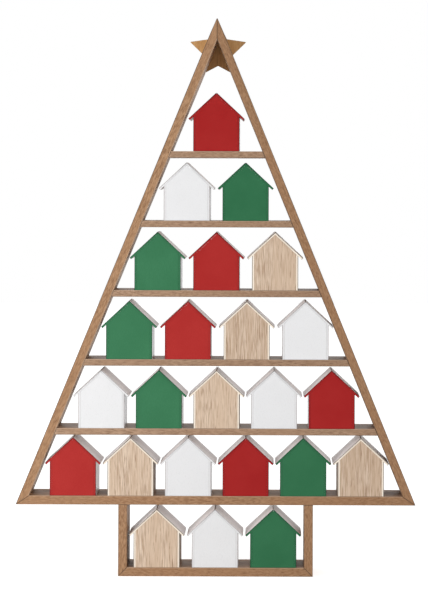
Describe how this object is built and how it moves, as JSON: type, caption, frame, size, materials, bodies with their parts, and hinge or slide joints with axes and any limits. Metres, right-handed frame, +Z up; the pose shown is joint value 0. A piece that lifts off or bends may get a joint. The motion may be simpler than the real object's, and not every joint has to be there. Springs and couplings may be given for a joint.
{
  "type": "advent calendar",
  "caption": "Tree-shaped open wooden advent calendar with shelves of small gabled houses, each a shell with a pull-out drawer, a short trunk and a flat star at the top.",
  "frame": {"origin": "centre of the trunk board's underside, on the floor, at mid depth of the tree", "axes": "+Z up the tree, the front with the drawers faces -Y, +X to the right of the front"},
  "size_m": [0.5742, 0.065, 0.8024],
  "materials": {
    "brown_wood": "smooth brown-stained wood board, matt, fine straight grain",
    "golden_wood": "golden-stained wood board, matt",
    "white_shell": "white painted thin board, matt, front edges in the colour of the drawer",
    "pale_shell": "bare pale wood walls under a white painted roof, matt",
    "red_paint": "red painted board, satin matt",
    "green_paint": "green painted board, satin matt",
    "white_paint": "white painted board, satin matt",
    "natural_wood": "bare pale wood with fine upright grain, matt"
  },
  "bodies": {
    "tree": {"left_rail": "brown_wood", "right_rail": "brown_wood", "base_board": "brown_wood", "shelf_1": "brown_wood", "shelf_2": "brown_wood", "shelf_3": "brown_wood", "shelf_4": "brown_wood", "shelf_5": "brown_wood", "left_trunk_post": "brown_wood", "right_trunk_post": "brown_wood", "trunk_board": "brown_wood", "star": "golden_wood"},
    "house_01": {"house_01": "white_shell"},
    "drawer_01": {"drawer_01": "red_paint"},
    "house_02": {"house_02": "white_shell"},
    "drawer_02": {"drawer_02": "white_paint"},
    "house_03": {"house_03": "white_shell"},
    "drawer_03": {"drawer_03": "green_paint"},
    "house_04": {"house_04": "white_shell"},
    "drawer_04": {"drawer_04": "green_paint"},
    "house_05": {"house_05": "white_shell"},
    "drawer_05": {"drawer_05": "red_paint"},
    "house_06": {"house_06": "pale_shell"},
    "drawer_06": {"drawer_06": "natural_wood"},
    "house_07": {"house_07": "white_shell"},
    "drawer_07": {"drawer_07": "green_paint"},
    "house_08": {"house_08": "white_shell"},
    "drawer_08": {"drawer_08": "red_paint"},
    "house_09": {"house_09": "pale_shell"},
    "drawer_09": {"drawer_09": "natural_wood"},
    "house_10": {"house_10": "white_shell"},
    "drawer_10": {"drawer_10": "white_paint"},
    "house_11": {"house_11": "white_shell"},
    "drawer_11": {"drawer_11": "white_paint"},
    "house_12": {"house_12": "white_shell"},
    "drawer_12": {"drawer_12": "green_paint"},
    "house_13": {"house_13": "pale_shell"},
    "drawer_13": {"drawer_13": "natural_wood"},
    "house_14": {"house_14": "white_shell"},
    "drawer_14": {"drawer_14": "white_paint"},
    "house_15": {"house_15": "white_shell"},
    "drawer_15": {"drawer_15": "red_paint"},
    "house_16": {"house_16": "white_shell"},
    "drawer_16": {"drawer_16": "red_paint"},
    "house_17": {"house_17": "pale_shell"},
    "drawer_17": {"drawer_17": "natural_wood"},
    "house_18": {"house_18": "white_shell"},
    "drawer_18": {"drawer_18": "white_paint"},
    "house_19": {"house_19": "white_shell"},
    "drawer_19": {"drawer_19": "red_paint"},
    "house_20": {"house_20": "white_shell"},
    "drawer_20": {"drawer_20": "green_paint"},
    "house_21": {"house_21": "pale_shell"},
    "drawer_21": {"drawer_21": "natural_wood"},
    "house_22": {"house_22": "pale_shell"},
    "drawer_22": {"drawer_22": "natural_wood"},
    "house_23": {"house_23": "white_shell"},
    "drawer_23": {"drawer_23": "white_paint"},
    "house_24": {"house_24": "white_shell"},
    "drawer_24": {"drawer_24": "green_paint"}
  },
  "joints": [
    {"name": "house_01_slide", "type": "slide", "parent": "tree", "child": "house_01", "axis": [0, -1, 0], "range_m": [0, 0.065]},
    {"name": "drawer_01_slide", "type": "slide", "parent": "house_01", "child": "drawer_01", "axis": [0, -1, 0], "range_m": [0, 0.06]},
    {"name": "house_02_slide", "type": "slide", "parent": "tree", "child": "house_02", "axis": [0, -1, 0], "range_m": [0, 0.065]},
    {"name": "drawer_02_slide", "type": "slide", "parent": "house_02", "child": "drawer_02", "axis": [0, -1, 0], "range_m": [0, 0.06]},
    {"name": "house_03_slide", "type": "slide", "parent": "tree", "child": "house_03", "axis": [0, -1, 0], "range_m": [0, 0.065]},
    {"name": "drawer_03_slide", "type": "slide", "parent": "house_03", "child": "drawer_03", "axis": [0, -1, 0], "range_m": [0, 0.06]},
    {"name": "house_04_slide", "type": "slide", "parent": "tree", "child": "house_04", "axis": [0, -1, 0], "range_m": [0, 0.065]},
    {"name": "drawer_04_slide", "type": "slide", "parent": "house_04", "child": "drawer_04", "axis": [0, -1, 0], "range_m": [0, 0.06]},
    {"name": "house_05_slide", "type": "slide", "parent": "tree", "child": "house_05", "axis": [0, -1, 0], "range_m": [0, 0.065]},
    {"name": "drawer_05_slide", "type": "slide", "parent": "house_05", "child": "drawer_05", "axis": [0, -1, 0], "range_m": [0, 0.06]},
    {"name": "house_06_slide", "type": "slide", "parent": "tree", "child": "house_06", "axis": [0, -1, 0], "range_m": [0, 0.065]},
    {"name": "drawer_06_slide", "type": "slide", "parent": "house_06", "child": "drawer_06", "axis": [0, -1, 0], "range_m": [0, 0.06]},
    {"name": "house_07_slide", "type": "slide", "parent": "tree", "child": "house_07", "axis": [0, -1, 0], "range_m": [0, 0.065]},
    {"name": "drawer_07_slide", "type": "slide", "parent": "house_07", "child": "drawer_07", "axis": [0, -1, 0], "range_m": [0, 0.06]},
    {"name": "house_08_slide", "type": "slide", "parent": "tree", "child": "house_08", "axis": [0, -1, 0], "range_m": [0, 0.065]},
    {"name": "drawer_08_slide", "type": "slide", "parent": "house_08", "child": "drawer_08", "axis": [0, -1, 0], "range_m": [0, 0.06]},
    {"name": "house_09_slide", "type": "slide", "parent": "tree", "child": "house_09", "axis": [0, -1, 0], "range_m": [0, 0.065]},
    {"name": "drawer_09_slide", "type": "slide", "parent": "house_09", "child": "drawer_09", "axis": [0, -1, 0], "range_m": [0, 0.06]},
    {"name": "house_10_slide", "type": "slide", "parent": "tree", "child": "house_10", "axis": [0, -1, 0], "range_m": [0, 0.065]},
    {"name": "drawer_10_slide", "type": "slide", "parent": "house_10", "child": "drawer_10", "axis": [0, -1, 0], "range_m": [0, 0.06]},
    {"name": "house_11_slide", "type": "slide", "parent": "tree", "child": "house_11", "axis": [0, -1, 0], "range_m": [0, 0.065]},
    {"name": "drawer_11_slide", "type": "slide", "parent": "house_11", "child": "drawer_11", "axis": [0, -1, 0], "range_m": [0, 0.06]},
    {"name": "house_12_slide", "type": "slide", "parent": "tree", "child": "house_12", "axis": [0, -1, 0], "range_m": [0, 0.065]},
    {"name": "drawer_12_slide", "type": "slide", "parent": "house_12", "child": "drawer_12", "axis": [0, -1, 0], "range_m": [0, 0.06]},
    {"name": "house_13_slide", "type": "slide", "parent": "tree", "child": "house_13", "axis": [0, -1, 0], "range_m": [0, 0.065]},
    {"name": "drawer_13_slide", "type": "slide", "parent": "house_13", "child": "drawer_13", "axis": [0, -1, 0], "range_m": [0, 0.06]},
    {"name": "house_14_slide", "type": "slide", "parent": "tree", "child": "house_14", "axis": [0, -1, 0], "range_m": [0, 0.065]},
    {"name": "drawer_14_slide", "type": "slide", "parent": "house_14", "child": "drawer_14", "axis": [0, -1, 0], "range_m": [0, 0.06]},
    {"name": "house_15_slide", "type": "slide", "parent": "tree", "child": "house_15", "axis": [0, -1, 0], "range_m": [0, 0.065]},
    {"name": "drawer_15_slide", "type": "slide", "parent": "house_15", "child": "drawer_15", "axis": [0, -1, 0], "range_m": [0, 0.06]},
    {"name": "house_16_slide", "type": "slide", "parent": "tree", "child": "house_16", "axis": [0, -1, 0], "range_m": [0, 0.065]},
    {"name": "drawer_16_slide", "type": "slide", "parent": "house_16", "child": "drawer_16", "axis": [0, -1, 0], "range_m": [0, 0.06]},
    {"name": "house_17_slide", "type": "slide", "parent": "tree", "child": "house_17", "axis": [0, -1, 0], "range_m": [0, 0.065]},
    {"name": "drawer_17_slide", "type": "slide", "parent": "house_17", "child": "drawer_17", "axis": [0, -1, 0], "range_m": [0, 0.06]},
    {"name": "house_18_slide", "type": "slide", "parent": "tree", "child": "house_18", "axis": [0, -1, 0], "range_m": [0, 0.065]},
    {"name": "drawer_18_slide", "type": "slide", "parent": "house_18", "child": "drawer_18", "axis": [0, -1, 0], "range_m": [0, 0.06]},
    {"name": "house_19_slide", "type": "slide", "parent": "tree", "child": "house_19", "axis": [0, -1, 0], "range_m": [0, 0.065]},
    {"name": "drawer_19_slide", "type": "slide", "parent": "house_19", "child": "drawer_19", "axis": [0, -1, 0], "range_m": [0, 0.06]},
    {"name": "house_20_slide", "type": "slide", "parent": "tree", "child": "house_20", "axis": [0, -1, 0], "range_m": [0, 0.065]},
    {"name": "drawer_20_slide", "type": "slide", "parent": "house_20", "child": "drawer_20", "axis": [0, -1, 0], "range_m": [0, 0.06]},
    {"name": "house_21_slide", "type": "slide", "parent": "tree", "child": "house_21", "axis": [0, -1, 0], "range_m": [0, 0.065]},
    {"name": "drawer_21_slide", "type": "slide", "parent": "house_21", "child": "drawer_21", "axis": [0, -1, 0], "range_m": [0, 0.06]},
    {"name": "house_22_slide", "type": "slide", "parent": "tree", "child": "house_22", "axis": [0, -1, 0], "range_m": [0, 0.065]},
    {"name": "drawer_22_slide", "type": "slide", "parent": "house_22", "child": "drawer_22", "axis": [0, -1, 0], "range_m": [0, 0.06]},
    {"name": "house_23_slide", "type": "slide", "parent": "tree", "child": "house_23", "axis": [0, -1, 0], "range_m": [0, 0.065]},
    {"name": "drawer_23_slide", "type": "slide", "parent": "house_23", "child": "drawer_23", "axis": [0, -1, 0], "range_m": [0, 0.06]},
    {"name": "house_24_slide", "type": "slide", "parent": "tree", "child": "house_24", "axis": [0, -1, 0], "range_m": [0, 0.065]},
    {"name": "drawer_24_slide", "type": "slide", "parent": "house_24", "child": "drawer_24", "axis": [0, -1, 0], "range_m": [0, 0.06]}
  ]
}
